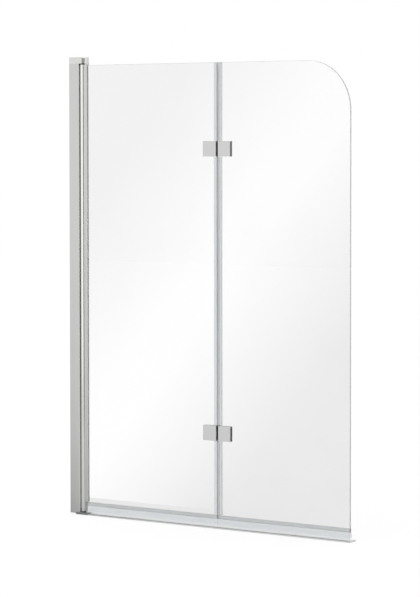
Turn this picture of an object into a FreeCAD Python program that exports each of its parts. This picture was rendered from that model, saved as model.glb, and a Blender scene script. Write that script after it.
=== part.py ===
import FreeCAD, Part
import math
import os

# Two-panel folding bath screen, in millimetres.
# X runs from the wall along the screen, Y points to the bath side, Z is up.
# X = 0 is the wall, Y = 0 the middle of the glass, Z = 0 the foot of the wall channel.
# The top of the bath rim lies a little lower, and the shoe and the rim strip stand on it.

# ---- overall ----
overall_length = 1000.0      # wall to the free edge of the glass
overall_height = 1400.0      # bath rim to the top of the wall profile
rim_drop = 3.0               # foot of the wall channel above the rim
fold_x = 544.0               # wall to the middle of the fold

# ---- glass ----
glass_thickness = 6.0
glass_lift = 28.0            # lower glass edge above the rim
glass_top_drop = 24.0        # glass ends this far below the top of the profile
glass_arris = 0.5            # ground edge chamfer
corner_radius = 143.0        # rounded free top corner
fold_half_gap = 3.0          # fold line to each glass edge

# ---- wall channel ----
channel_depth = 37.0
channel_width = 25.0
channel_wall = 1.8
channel_lip_fillet = 1.6
wall_hole_radius = 2.75
wall_hole_inset = 89.0       # channel end to the nearest of its four wall holes

# ---- adjusting profile ----
slide_clearance = 0.2        # each side, inside the channel
slide_wall = 1.6
slide_tail = 8.0             # distance of the profile's open end from the wall
nose_setback = 0.5           # nose lies this far inside the channel mouth
post_seat_gap = 0.5          # radial gap between the post and its cradle

# ---- top cap ----
cap_height = 19.0
cap_reach = 7.7              # cap runs this far past the pivot axis
cap_corner_fillet = 3.0
cap_edge_fillet = 0.8
cap_plug_depth = 10.0
cap_plug_clearance = 0.2
cap_plug_length = 18.0
cap_plug_wall = 2.0

# ---- pivot post, neck and glass pocket ----
pivot_offset = 4.0           # channel mouth to the pivot axis
post_radius = 8.5
post_bore_radius = 6.0
neck_clearance = 0.5         # neck to the channel mouth when swung square
swing_clearance = 0.4        # pocket to the corners that it passes
pocket_wall = 1.6
pocket_corner_fillet = 1.2   # outer corners on the side of the post
gasket_thickness = 0.9
glass_bite = 4.7             # how far the pocket grips the glass
gasket_lip = 0.8             # gasket shows this much at the pocket's mouth
pocket_cap_height = 17.0
pocket_cap_rest = 1.0        # plug of the cap above the glass
pocket_cap_fillet = 0.5

# ---- bearings and pivot pins ----
shoe_start = 23.0            # wall to the near end of the shoe under the pivot post
shoe_length = 46.0
shoe_half_width = 15.5
shoe_height = 6.5
shoe_fillet = 0.8
shoe_floor = 1.0             # under the pivot pin
notch_gap = 0.2              # channel to the shoe
bearing_block_height = 15.5  # block in the channel's foot, above Z = 0
bush_flange = 2.6
bush_length = 16.0
bush_gap = 0.4               # flange to the fixed face that it runs on
pivot_pin_radius = 3.0
pivot_pin_bite = 11.0        # length of the top pin inside the cap
pin_running_gap = 0.05       # radial clearance of a pin that turns in its bore
pin_chamfer = 0.5

# ---- lock screws and their caps ----
lock_screw_inset = 140.0     # channel end to the nearest of the three screws
lock_screw_x = 18.0
lock_screw_radius = 2.0
lock_head_radius = 4.0
lock_head_height = 2.2
lock_screw_reach = 0.8       # tip stands inside the adjusting profile
lock_slot_width = 1.2
lock_slot_depth = 1.0
screw_cap_radius = 6.0
screw_cap_height = 3.6
screw_cap_wall = 1.2
screw_cap_fillet = 0.8

# ---- hinge leaves ----
hinge_from_end = 254.0       # hinge centre to the nearer glass end
leaf_height = 45.0
inner_leaf_width = 47.0
outer_leaf_width = 41.5
leaf_half_gap = 3.5          # fold line to the edge of each leaf
front_plate_thickness = 4.5
back_plate_thickness = 5.0
pad_thickness = 0.8
pad_inset = 0.6
plate_fillet = 0.7
knuckle_radius = 4.5
knuckle_web = 4.0            # depth of the web from a plate to its knuckle
knuckle_clearance = 0.35
middle_knuckle = 15.0
knuckle_gap = 1.0
washer_end_gap = 0.1
hinge_pin_radius = 2.5
fold_clearance = 0.7         # back plate to the plane of the pin axis
leaf_screw_radius = 2.5
leaf_screw_clearance = 0.2
leaf_screw_pitch = 26.0
leaf_screw_bite = 3.3        # screw length inside the front plate
leaf_head_radius = 5.0
leaf_head_depth = 2.6
socket_across_flats = 3.0
socket_depth = 1.8
sleeve_radius = 5.4
glass_hole_radius = 5.5

# ---- translucent fold strips ----
seal_fit = 0.1               # strip to the glass, each side
seal_wall = 1.1
seal_leg = 10.5              # grip over the glass, from its edge
seal_end_gap = 1.0           # strip end to the hinge plate
bulb_wall = 0.5
bulb_half_width = 2.6
bulb_clearance = 0.3         # bulb to the other strip

# ---- bottom seals ----
grip_height = 10.5           # legs of the bottom seal up the glass
seal_lift = 0.5              # seal above the rim strip and the shoe
seal_start_gap = 0.8         # pocket end to the top of the seal
fin_thickness = 1.0
fin_drop = 4.5               # fin leaves the back leg this far below the glass
fin_tip_height = 9.0         # above the rim
fin_reach = 9.0              # fin tip from the glass plane, to the bath side
seal_neck_gap = 0.3          # neck of the post to the end of the inner seal

# ---- rim strip ----
strip_gap = 0.4              # shoe to the strip's end
strip_overhang = 8.5         # strip past the free glass edge
strip_half_width = 16.5
strip_thickness = 4.0
strip_chamfer = 1.2
tape_thickness = 1.0
tape_inset = 1.0

# ---- worked out from the above ----
half_glass = glass_thickness / 2
rim_z = -rim_drop
cap_top = rim_z + overall_height
glass_bottom = rim_z + glass_lift
glass_top = cap_top - glass_top_drop
channel_top = cap_top - cap_height
lock_screw_heights = [lock_screw_inset, channel_top / 2, channel_top - lock_screw_inset]
half_channel = channel_width / 2
channel_inside = half_channel - channel_wall
half_slide = channel_inside - slide_clearance
nose_x = channel_depth - nose_setback
pivot_x = channel_depth + pivot_offset
seat_radius = post_radius + post_seat_gap
cap_nose_x = pivot_x + cap_reach
cap_swing = cap_corner_fillet + math.hypot(cap_reach - cap_corner_fillet, half_channel - cap_corner_fillet)
channel_swing = math.hypot(pivot_offset, half_channel)
pocket_x = pivot_x + max(cap_swing, channel_swing) + swing_clearance
half_neck = pivot_offset - neck_clearance
half_gasket = half_glass + gasket_thickness
half_pocket = half_gasket + pocket_wall
inner_glass_x = pocket_x + pocket_wall + gasket_thickness
pocket_mouth_x = inner_glass_x + glass_bite
tape_top = rim_z + tape_thickness
strip_top = tape_top + strip_thickness
shoe_top = rim_z + shoe_height
shoe_end = shoe_start + shoe_length
post_bottom = shoe_top + bush_gap + bush_flange
post_top = channel_top - bush_gap - bush_flange
seal_bottom = max(strip_top, shoe_top) + seal_lift
seal_top = glass_bottom + grip_height
pocket_bottom = seal_top + seal_start_gap
pocket_top = cap_top - pocket_cap_height
inner_edge_x = fold_x - fold_half_gap
outer_edge_x = fold_x + fold_half_gap
front_face_y = -(half_glass + pad_thickness + front_plate_thickness)
back_face_y = half_glass + pad_thickness + back_plate_thickness
fold_y = back_face_y + fold_clearance
hinge_heights = {"lower": glass_bottom + hinge_from_end, "upper": glass_top - hinge_from_end}
inner_leaf = (fold_x - leaf_half_gap - inner_leaf_width, fold_x - leaf_half_gap)
outer_leaf = (fold_x + leaf_half_gap, fold_x + leaf_half_gap + outer_leaf_width)
inner_screw_x = (inner_leaf[0] + inner_edge_x) / 2
outer_screw_x = (outer_leaf[1] + outer_edge_x) / 2
end_knuckle = (leaf_height - middle_knuckle) / 2 - knuckle_gap
strip_start_x = shoe_end + strip_gap
strip_end_x = overall_length + strip_overhang
past = 1.0                   # how far a cutting shape runs past what it cuts


def block(x, y, z):
    """Box between the two values of each pair."""
    size = (x[1] - x[0], y[1] - y[0], z[1] - z[0])
    return Part.makeBox(size[0], size[1], size[2], FreeCAD.Vector(x[0], y[0], z[0]))


def upright(radius, x, y, z):
    """Vertical cylinder between two heights."""
    return Part.makeCylinder(radius, z[1] - z[0], FreeCAD.Vector(x, y, z[0]), FreeCAD.Vector(0, 0, 1))


def along_x(radius, x, y, z):
    """Cylinder along X between two values of x."""
    return Part.makeCylinder(radius, x[1] - x[0], FreeCAD.Vector(x[0], y, z), FreeCAD.Vector(1, 0, 0))


def along_y(radius, x, y, z):
    """Cylinder along Y between two values of y."""
    return Part.makeCylinder(radius, y[1] - y[0], FreeCAD.Vector(x, y[0], z), FreeCAD.Vector(0, 1, 0))


def prism_x(outline, x):
    """Prism along X from an outline of (y, z) points."""
    points = [FreeCAD.Vector(x[0], y, z) for y, z in outline]
    face = Part.Face(Part.makePolygon(points + points[:1]))
    return face.extrude(FreeCAD.Vector(x[1] - x[0], 0, 0))


def edges_where(shape, test):
    """Straight edges whose two ends both pass the test."""
    found = []
    for edge in shape.Edges:
        ends = [vertex.Point for vertex in edge.Vertexes]
        if len(ends) == 2 and all(test(point) for point in ends):
            found.append(edge)
    return found


def near(value, target):
    return abs(value - target) < 1e-4


def vertical_corners(shape, x, y):
    """Vertical edges that stand at x and at plus or minus y."""
    return edges_where(shape, lambda p: near(p.x, x) and near(abs(p.y), y))


def join(shapes):
    """One clean solid from shapes that meet."""
    return shapes[0].fuse(shapes[1:]).removeSplitter()


def save(name, shape):
    shape.exportStep("parts/" + name + ".step")
    print(name, len(shape.Solids), "solid", round(shape.Volume / 1000, 2), "cm3")


# ---------------------------------------------------------------- wall side

def wall_hole_heights():
    pitch = (channel_top - 2 * wall_hole_inset) / 3
    return [wall_hole_inset + step * pitch for step in range(4)]


def lock_hole(radius, y, height):
    return along_y(radius, lock_screw_x, y, height)


def wall_channel():
    outer = block((0, channel_depth), (-half_channel, half_channel), (0, channel_top))
    outer = outer.makeFillet(channel_lip_fillet, vertical_corners(outer, channel_depth, half_channel))
    inside = (channel_wall, channel_depth + past)
    hollow = block(inside, (-channel_inside, channel_inside), (-past, channel_top + past))
    holes = [along_x(wall_hole_radius, (-past, channel_wall + past), 0, z) for z in wall_hole_heights()]
    leg = (channel_inside - past, half_channel + past)
    holes += [lock_hole(lock_screw_radius, leg, z) for z in lock_screw_heights]
    notch_x = (shoe_start - notch_gap, channel_depth + past)
    notch_y = (-half_channel - past, half_channel + past)
    notch = block(notch_x, notch_y, (-past, shoe_top + notch_gap))
    return outer.cut([hollow, notch] + holes)


def adjusting_profile():
    bottom = bearing_block_height
    top = channel_top - cap_plug_depth - slide_clearance
    outer = block((slide_tail, nose_x), (-half_slide, half_slide), (bottom, top))
    through = (bottom - past, top + past)
    inside_y = half_slide - slide_wall
    hollow = block((slide_tail - past, nose_x - slide_wall), (-inside_y, inside_y), through)
    hollow = hollow.cut(upright(seat_radius + slide_wall, pivot_x, 0, through))
    cradle = upright(seat_radius, pivot_x, 0, through)
    leg = (inside_y - past, half_slide + past)
    holes = [lock_hole(lock_screw_radius, leg, z) for z in lock_screw_heights]
    return outer.cut([hollow, cradle] + holes)


def top_cap():
    body = block((0, cap_nose_x), (-half_channel, half_channel), (channel_top, cap_top))
    body = body.makeFillet(cap_corner_fillet, vertical_corners(body, cap_nose_x, half_channel))
    rim = [edge for edge in body.Edges if all(near(v.Point.z, cap_top) for v in edge.Vertexes)]
    rim = [edge for edge in rim if edge.CenterOfMass.x > past]
    body = body.makeFillet(cap_edge_fillet, rim)
    half_plug = channel_inside - cap_plug_clearance
    plug_x = (channel_wall + cap_plug_clearance, channel_wall + cap_plug_clearance + cap_plug_length)
    plug_z = (channel_top - cap_plug_depth, channel_top + past)
    plug = block(plug_x, (-half_plug, half_plug), plug_z)
    core_x = (plug_x[0] + cap_plug_wall, plug_x[1] - cap_plug_wall)
    core_y = half_plug - cap_plug_wall
    core = block(core_x, (-core_y, core_y), (plug_z[0] - past, channel_top))
    bore = upright(pivot_pin_radius, pivot_x, 0, (channel_top - past, channel_top + pivot_pin_bite))
    return join([body, plug]).cut([core, bore])


def pivot_pin(z):
    pin = upright(pivot_pin_radius, pivot_x, 0, z)
    rings = [edge for edge in pin.Edges if len(edge.Vertexes) == 1]
    return pin.makeChamfer(pin_chamfer, rings)


def top_pivot_pin():
    return pivot_pin((post_top - bush_length, channel_top + pivot_pin_bite))


def bottom_pivot_pin():
    return pivot_pin((rim_z + shoe_floor, post_bottom + bush_length))


def bottom_bearing():
    """Shoe on the rim under the pivot post, with a block that fills the channel's foot."""
    shoe_y = (-shoe_half_width, shoe_half_width)
    shoe = block((shoe_start, shoe_end), shoe_y, (rim_z, shoe_top))
    shoe = shoe.makeFillet(shoe_fillet, edges_where(shoe, lambda p: near(p.z, shoe_top)))
    half_block = channel_inside - slide_clearance
    foot_x = (channel_wall + slide_clearance, nose_x)
    foot = block(foot_x, (-half_block, half_block), (0, bearing_block_height))
    foot = foot.cut(upright(seat_radius, pivot_x, 0, (shoe_top, bearing_block_height + past)))
    bore = upright(pivot_pin_radius, pivot_x, 0, (rim_z + shoe_floor, shoe_top + past))
    return join([shoe, foot]).cut(bore)


def lock_screws():
    screws = []
    for z in lock_screw_heights:
        tip = half_slide - slide_wall - lock_screw_reach
        shank = lock_hole(lock_screw_radius, (tip, half_channel + lock_head_height / 2), z)
        head = lock_hole(lock_head_radius, (half_channel, half_channel + lock_head_height), z)
        head_top = half_channel + lock_head_height
        slot_x = (lock_screw_x - lock_head_radius - past, lock_screw_x + lock_head_radius + past)
        slot_z = (z - lock_slot_width / 2, z + lock_slot_width / 2)
        slot = block(slot_x, (head_top - lock_slot_depth, head_top + past), slot_z)
        screws.append(join([shank, head]).cut(slot))
    return Part.makeCompound(screws)


def lock_screw_caps():
    caps = []
    for z in lock_screw_heights:
        outer = lock_hole(screw_cap_radius, (half_channel, half_channel + screw_cap_height), z)
        face = half_channel + screw_cap_height
        ring = [edge for edge in outer.Edges if len(edge.Vertexes) == 1 and near(edge.CenterOfMass.y, face)]
        outer = outer.makeFillet(screw_cap_fillet, ring)
        inside = (half_channel - past, half_channel + screw_cap_height - screw_cap_wall)
        caps.append(outer.cut(lock_hole(screw_cap_radius - screw_cap_wall, inside, z)))
    return Part.makeCompound(caps)


def rim_strip():
    x = (strip_start_x, strip_end_x)
    strip = block(x, (-strip_half_width, strip_half_width), (tape_top, strip_top))
    long_edges = edges_where(strip, lambda p: near(p.z, strip_top) and near(abs(p.y), strip_half_width))
    long_edges = [edge for edge in long_edges if edge.Length > strip_half_width * 2 + past]
    return strip.makeChamfer(strip_chamfer, long_edges)


def rim_tape():
    half = strip_half_width - tape_inset
    x = (strip_start_x + tape_inset, strip_end_x - tape_inset)
    return block(x, (-half, half), (rim_z, tape_top))


# ------------------------------------------------------------- pivot profile

def pivot_profile():
    """Round post, thin neck and glass pocket; neck and pocket stop above the bottom seal."""
    post = upright(post_radius, pivot_x, 0, (post_bottom, post_top))
    neck = block((pivot_x, pocket_x), (-half_neck, half_neck), (pocket_bottom, post_top))
    outside_x = (pocket_x, pocket_mouth_x)
    pocket = block(outside_x, (-half_pocket, half_pocket), (pocket_bottom, pocket_top))
    pocket = pocket.makeFillet(pocket_corner_fillet, vertical_corners(pocket, pocket_x, half_pocket))
    bore = upright(post_bore_radius, pivot_x, 0, (post_bottom - past, post_top + past))
    room_x = (pocket_x + pocket_wall, pocket_mouth_x + past)
    room = block(room_x, (-half_gasket, half_gasket), (pocket_bottom - past, pocket_top + past))
    return join([post, neck, pocket]).cut([bore, room])


def corner_block():
    """Rubber block under the neck that closes the corner between the post and the bottom seal."""
    body = block((pivot_x, pocket_x), (-half_neck, half_neck), (post_bottom, pocket_bottom))
    return body.cut(upright(post_radius, pivot_x, 0, (post_bottom - past, pocket_bottom + past)))


def post_bush(flange, sleeve):
    """Flanged plastic bush in one end of the post; both arguments are heights."""
    low, high = min(flange + sleeve), max(flange + sleeve)
    disc = upright(post_radius, pivot_x, 0, flange)
    tube = upright(post_bore_radius, pivot_x, 0, sleeve)
    bore = upright(pivot_pin_radius + pin_running_gap, pivot_x, 0, (low - past, high + past))
    return join([disc, tube]).cut(bore)


def top_bush():
    return post_bush((post_top, post_top + bush_flange), (post_top - bush_length, post_top))


def bottom_bush():
    return post_bush((post_bottom - bush_flange, post_bottom), (post_bottom, post_bottom + bush_length))


def pocket_cap():
    lid = block((pocket_x, pocket_mouth_x), (-half_pocket, half_pocket), (pocket_top, cap_top))
    corners = vertical_corners(lid, pocket_x, half_pocket)
    rim = [edge for edge in lid.Edges if all(near(v.Point.z, cap_top) for v in edge.Vertexes)]
    lid = lid.makeFillet(pocket_cap_fillet, corners + rim)
    plug_x = (pocket_x + pocket_wall, pocket_mouth_x)
    plug_z = (glass_top + pocket_cap_rest, pocket_top + past)
    plug = block(plug_x, (-half_gasket, half_gasket), plug_z)
    return join([lid, plug])


def glazing_gasket():
    outside_x = (inner_glass_x - gasket_thickness, pocket_mouth_x + gasket_lip)
    outer = block(outside_x, (-half_gasket, half_gasket), (pocket_bottom, glass_top))
    room_x = (inner_glass_x, pocket_mouth_x + gasket_lip + past)
    room = block(room_x, (-half_glass, half_glass), (pocket_bottom - past, glass_top + past))
    return outer.cut(room)


# --------------------------------------------------------------------- glass

def leaf_screw_heights():
    return [z + side * leaf_screw_pitch / 2 for z in hinge_heights.values() for side in (-1, 1)]


def pane(x, top_corner):
    """Glass panel with ground edges; top_corner is the radius of its free top corner."""
    sheet = block(x, (-half_glass, half_glass), (glass_bottom, glass_top))
    if top_corner:
        corner = edges_where(sheet, lambda p: near(p.x, x[1]) and near(p.z, glass_top))
        sheet = sheet.makeFillet(top_corner, corner)
    faces = [face for face in sheet.Faces if near(abs(face.CenterOfMass.y), half_glass)]
    outline = [edge for face in faces for edge in face.Edges]
    return sheet.makeChamfer(glass_arris, outline)


def with_hinge_holes(sheet, x):
    through = (-half_glass - past, half_glass + past)
    return sheet.cut([along_y(glass_hole_radius, x, through, z) for z in leaf_screw_heights()])


def inner_glass():
    return with_hinge_holes(pane((inner_glass_x, inner_edge_x), 0), inner_screw_x)


def outer_glass():
    return with_hinge_holes(pane((outer_edge_x, overall_length), corner_radius), outer_screw_x)


# -------------------------------------------------------------------- hinges

def front_plate(leaf, screw_x, height):
    """Plain square plate outside the glass, with blind holes for the leaf's two screws."""
    z = (height - leaf_height / 2, height + leaf_height / 2)
    inner_y = -(half_glass + pad_thickness)
    plate = block(leaf, (front_face_y, inner_y), z)
    rim = edges_where(plate, lambda p: near(p.y, front_face_y))
    plate = plate.makeFillet(plate_fillet, rim)
    reach = (inner_y - leaf_screw_bite, inner_y + past)
    spots = [height - leaf_screw_pitch / 2, height + leaf_screw_pitch / 2]
    return plate.cut([along_y(leaf_screw_radius, screw_x, reach, spot) for spot in spots])


def countersink(x, z, slack):
    """Cone of a leaf screw's head, grown by slack, flush with the back plate's face."""
    small = leaf_screw_radius + slack
    large = leaf_head_radius + slack
    seat = FreeCAD.Vector(x, back_face_y - leaf_head_depth, z)
    return Part.makeCone(small, large, leaf_head_depth, seat, FreeCAD.Vector(0, 1, 0))


def back_plate(leaf, screw_x, height, knuckles, free_bands):
    """Plate on the bath side; free_bands are the heights where the other leaf's knuckles turn."""
    z = (height - leaf_height / 2, height + leaf_height / 2)
    inner_y = half_glass + pad_thickness
    plate = block(leaf, (inner_y, back_face_y), z)
    far_x = leaf[0] if leaf[0] < fold_x - leaf_half_gap - past else leaf[1]
    rim = edges_where(plate, lambda p: near(p.y, back_face_y) and near(p.x, far_x))
    plate = plate.makeFillet(plate_fillet, rim)
    web_x = sorted((fold_x, leaf[0] + leaf[1] - far_x))
    webs = [block(web_x, (back_face_y - knuckle_web, back_face_y), band) for band in knuckles]
    barrels = [upright(knuckle_radius, fold_x, fold_y, band) for band in knuckles]
    solid = join([plate] + webs + barrels)
    cuts = [upright(knuckle_radius + knuckle_clearance, fold_x, fold_y, band) for band in free_bands]
    for spot in (height - leaf_screw_pitch / 2, height + leaf_screw_pitch / 2):
        shank = (inner_y - past, back_face_y + past)
        cuts.append(along_y(leaf_screw_radius + leaf_screw_clearance, screw_x, shank, spot))
        cuts.append(countersink(screw_x, spot, leaf_screw_clearance))
    return solid.cut(cuts)


def knuckle_bands(height):
    """Heights of the two end knuckles and of the middle one."""
    low = height - leaf_height / 2
    high = height + leaf_height / 2
    middle = (height - middle_knuckle / 2, height + middle_knuckle / 2)
    return [(low, low + end_knuckle), (high - end_knuckle, high)], middle


def inner_back_plate(height):
    ends, middle = knuckle_bands(height)
    free = (ends[0][1], ends[1][0])
    plate = back_plate(inner_leaf, inner_screw_x, height, ends, [free])
    return plate.cut(upright(hinge_pin_radius, fold_x, fold_y, (ends[0][0] - past, ends[1][1] + past)))


def outer_back_plate(height):
    ends, middle = knuckle_bands(height)
    free = [(ends[0][0] - past, middle[0]), (middle[1], ends[1][1] + past)]
    plate = back_plate(outer_leaf, outer_screw_x, height, [middle], free)
    bore = upright(hinge_pin_radius + pin_running_gap, fold_x, fold_y, (middle[0] - past, middle[1] + past))
    return plate.cut(bore)


def hinge_pin(height):
    pin = upright(hinge_pin_radius, fold_x, fold_y, (height - leaf_height / 2, height + leaf_height / 2))
    rings = [edge for edge in pin.Edges if len(edge.Vertexes) == 1]
    return pin.makeChamfer(pin_chamfer, rings)


def hinge_washers(height):
    """Two nylon washers that keep the knuckles apart."""
    ends, middle = knuckle_bands(height)
    rings = []
    for low, high in ((ends[0][1], middle[0]), (middle[1], ends[1][0])):
        z = (low + washer_end_gap, high - washer_end_gap)
        ring = upright(knuckle_radius, fold_x, fold_y, z)
        bore = upright(hinge_pin_radius + pin_running_gap, fold_x, fold_y, (low - past, high + past))
        rings.append(ring.cut(bore))
    return Part.makeCompound(rings)


def leaf_pad(leaf, edge_x, screw_x, height, side):
    """Soft pad between a plate and the glass; side is -1 in front and +1 on the bath side."""
    ends = sorted((edge_x, leaf[0] if screw_x < fold_x else leaf[1]))
    x = (ends[0] + pad_inset, ends[1] - pad_inset)
    y = sorted((side * half_glass, side * (half_glass + pad_thickness)))
    half = leaf_height / 2 - pad_inset
    pad = block(x, y, (height - half, height + half))
    radius = leaf_screw_radius + leaf_screw_clearance
    through = (y[0] - past, y[1] + past)
    spots = (height - leaf_screw_pitch / 2, height + leaf_screw_pitch / 2)
    return pad.cut([along_y(radius, screw_x, through, spot) for spot in spots])


def hex_socket(x, z):
    """Six-sided hole in the head of a leaf screw."""
    radius = socket_across_flats / 2 / math.cos(math.radians(30))
    corners = []
    for turn in range(7):
        angle = math.radians(60 * turn)
        corner_x = x + radius * math.cos(angle)
        corner_z = z + radius * math.sin(angle)
        corners.append(FreeCAD.Vector(corner_x, back_face_y + past, corner_z))
    return Part.Face(Part.makePolygon(corners)).extrude(FreeCAD.Vector(0, -socket_depth - past, 0))


def leaf_screws(x):
    """Countersunk socket screws through the back plates into the front plates."""
    screws = []
    tip = -(half_glass + pad_thickness) - leaf_screw_bite
    for z in leaf_screw_heights():
        shank = along_y(leaf_screw_radius, x, (tip, back_face_y - leaf_head_depth), z)
        screws.append(join([shank, countersink(x, z, 0)]).cut(hex_socket(x, z)))
    return Part.makeCompound(screws)


def leaf_sleeves(x):
    """Plastic sleeves that keep the screws off the glass."""
    sleeves = []
    through = (-half_glass - past, half_glass + past)
    for z in leaf_screw_heights():
        tube = along_y(sleeve_radius, x, (-half_glass, half_glass), z)
        bore = along_y(leaf_screw_radius + leaf_screw_clearance, x, through, z)
        sleeves.append(tube.cut(bore))
    return Part.makeCompound(sleeves)


# --------------------------------------------------------- translucent strips

def fold_strip_spans():
    """Heights of the three lengths of strip, which stop at the hinge plates."""
    room = leaf_height / 2 + seal_end_gap
    low, high = hinge_heights["lower"], hinge_heights["upper"]
    return {
        "lower": (seal_top + seal_end_gap, low - room),
        "middle": (low + room, high - room),
        "upper": (high + room, glass_top),
    }


def fold_strip(edge_x, way, z):
    """U-shaped strip on a glass edge; way is +1 where the glass ends towards +X."""
    inner = half_glass + seal_fit
    outer = inner + seal_wall
    end_inner = edge_x + way * seal_fit
    end_outer = end_inner + way * seal_wall
    tip = edge_x - way * seal_leg
    body = block(sorted((tip, end_outer)), (-outer, outer), z)
    room_x = sorted((tip - way * past, end_inner))
    return body.cut(block(room_x, (-inner, inner), (z[0] - past, z[1] + past)))


def inner_fold_strip(z):
    """Strip on the inner panel, with a soft hollow bulb that closes the gap."""
    grip = fold_strip(inner_edge_x, 1, z)
    wall_x = inner_edge_x + seal_fit + seal_wall
    other_x = outer_edge_x - seal_fit - seal_wall
    face_x = other_x - bulb_clearance
    bulb = block((wall_x - seal_wall / 2, face_x), (-bulb_half_width, bulb_half_width), z)
    round_corners = vertical_corners(bulb, face_x, bulb_half_width)
    bulb = bulb.makeFillet((face_x - wall_x) / 2, round_corners)
    hollow_half = bulb_half_width - bulb_wall
    hollow = block((wall_x, face_x - bulb_wall), (-hollow_half, hollow_half), (z[0] - past, z[1] + past))
    return join([grip, bulb]).cut(hollow)


def outer_fold_strip(z):
    return fold_strip(outer_edge_x, -1, z)


def bottom_seal(x):
    """Grip over the lower glass edge, a skirt in front and a fin that sheds water to the bath side."""
    inner = half_glass + seal_fit
    outer = inner + seal_wall
    skirt = block(x, (-outer, -inner), (seal_bottom, seal_top))
    bridge_top = glass_bottom - seal_fit
    bridge = block(x, (-outer, outer), (bridge_top - seal_wall, bridge_top))
    fin_root = glass_bottom - fin_drop
    fin_tip = rim_z + fin_tip_height
    leg = block(x, (inner, outer), (fin_root, seal_top))
    fin_rise = fin_thickness * 1.5
    outline = [
        (inner, fin_root),
        (outer, fin_root + fin_rise),
        (fin_reach, fin_tip + fin_rise),
        (fin_reach, fin_tip),
    ]
    return join([skirt, bridge, leg, prism_x(outline, x)])


def inner_bottom_seal():
    return bottom_seal((pocket_x + seal_neck_gap, inner_edge_x + seal_fit + seal_wall))


def outer_bottom_seal():
    return bottom_seal((outer_edge_x - seal_fit - seal_wall, overall_length))


# ------------------------------------------------------------------- assembly

os.makedirs("parts", exist_ok=True)

save("wall_channel", wall_channel())
save("adjusting_profile", adjusting_profile())
save("top_cap", top_cap())
save("top_pivot_pin", top_pivot_pin())
save("bottom_bearing", bottom_bearing())
save("bottom_pivot_pin", bottom_pivot_pin())
save("lock_screws", lock_screws())
save("lock_screw_caps", lock_screw_caps())
save("rim_strip", rim_strip())
save("rim_tape", rim_tape())

save("pivot_profile", pivot_profile())
save("corner_block", corner_block())
save("top_bush", top_bush())
save("bottom_bush", bottom_bush())
save("pocket_cap", pocket_cap())
save("glazing_gasket", glazing_gasket())
save("inner_glass", inner_glass())
save("inner_bottom_seal", inner_bottom_seal())
save("outer_glass", outer_glass())
save("outer_bottom_seal", outer_bottom_seal())

for place, span in fold_strip_spans().items():
    save("inner_fold_strip_" + place, inner_fold_strip(span))
    save("outer_fold_strip_" + place, outer_fold_strip(span))

for place, height in hinge_heights.items():
    hinge = place + "_hinge_"
    save(hinge + "inner_front_plate", front_plate(inner_leaf, inner_screw_x, height))
    save(hinge + "outer_front_plate", front_plate(outer_leaf, outer_screw_x, height))
    save(hinge + "inner_back_plate", inner_back_plate(height))
    save(hinge + "outer_back_plate", outer_back_plate(height))
    save(hinge + "pin", hinge_pin(height))
    save(hinge + "washers", hinge_washers(height))
    for side, sign in (("front", -1), ("back", 1)):
        inner_pad = leaf_pad(inner_leaf, inner_edge_x, inner_screw_x, height, sign)
        outer_pad = leaf_pad(outer_leaf, outer_edge_x, outer_screw_x, height, sign)
        save(hinge + "inner_" + side + "_pad", inner_pad)
        save(hinge + "outer_" + side + "_pad", outer_pad)

save("inner_leaf_screws", leaf_screws(inner_screw_x))
save("outer_leaf_screws", leaf_screws(outer_screw_x))
save("inner_leaf_sleeves", leaf_sleeves(inner_screw_x))
save("outer_leaf_sleeves", leaf_sleeves(outer_screw_x))
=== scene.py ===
import math

import bmesh
import bpy
from mathutils import Matrix, Vector


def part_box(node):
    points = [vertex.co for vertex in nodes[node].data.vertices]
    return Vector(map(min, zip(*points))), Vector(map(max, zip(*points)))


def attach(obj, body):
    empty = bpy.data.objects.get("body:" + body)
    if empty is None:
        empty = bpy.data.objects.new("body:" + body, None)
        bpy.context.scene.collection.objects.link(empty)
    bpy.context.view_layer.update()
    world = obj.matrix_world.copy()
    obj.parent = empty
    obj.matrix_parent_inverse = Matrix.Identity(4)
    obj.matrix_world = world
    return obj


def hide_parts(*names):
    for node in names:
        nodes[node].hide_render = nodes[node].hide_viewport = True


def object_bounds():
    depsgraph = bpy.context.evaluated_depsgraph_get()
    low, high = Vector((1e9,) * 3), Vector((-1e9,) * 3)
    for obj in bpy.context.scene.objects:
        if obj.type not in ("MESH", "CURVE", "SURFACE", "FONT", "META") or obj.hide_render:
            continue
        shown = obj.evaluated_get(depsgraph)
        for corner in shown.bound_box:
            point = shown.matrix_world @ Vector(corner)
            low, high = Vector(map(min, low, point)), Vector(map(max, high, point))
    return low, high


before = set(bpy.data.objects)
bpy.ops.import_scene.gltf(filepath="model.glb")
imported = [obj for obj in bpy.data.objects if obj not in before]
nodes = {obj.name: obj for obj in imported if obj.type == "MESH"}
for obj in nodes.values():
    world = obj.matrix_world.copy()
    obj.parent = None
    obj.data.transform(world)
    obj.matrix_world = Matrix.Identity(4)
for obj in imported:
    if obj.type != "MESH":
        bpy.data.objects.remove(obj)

cadLow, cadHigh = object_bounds()
scene = bpy.context.scene
print("frame loaded,", len(nodes), "nodes")


# camera: eye a little above the middle, off to the free end's side

cameraPlace = {
    "location": (4.7140, -6.0909, 1.1448),
    "downTilt": 2.283,       # degrees below level
    "turn": 34.589,          # degrees from +Y towards -X
    "roll": -0.061,          # degrees
    "lens": 151.19,          # mm
    "sensor": 36,            # mm along the long side
    "shiftY": -0.098,
    "clip": (0.1, 100),      # metres
}


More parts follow.
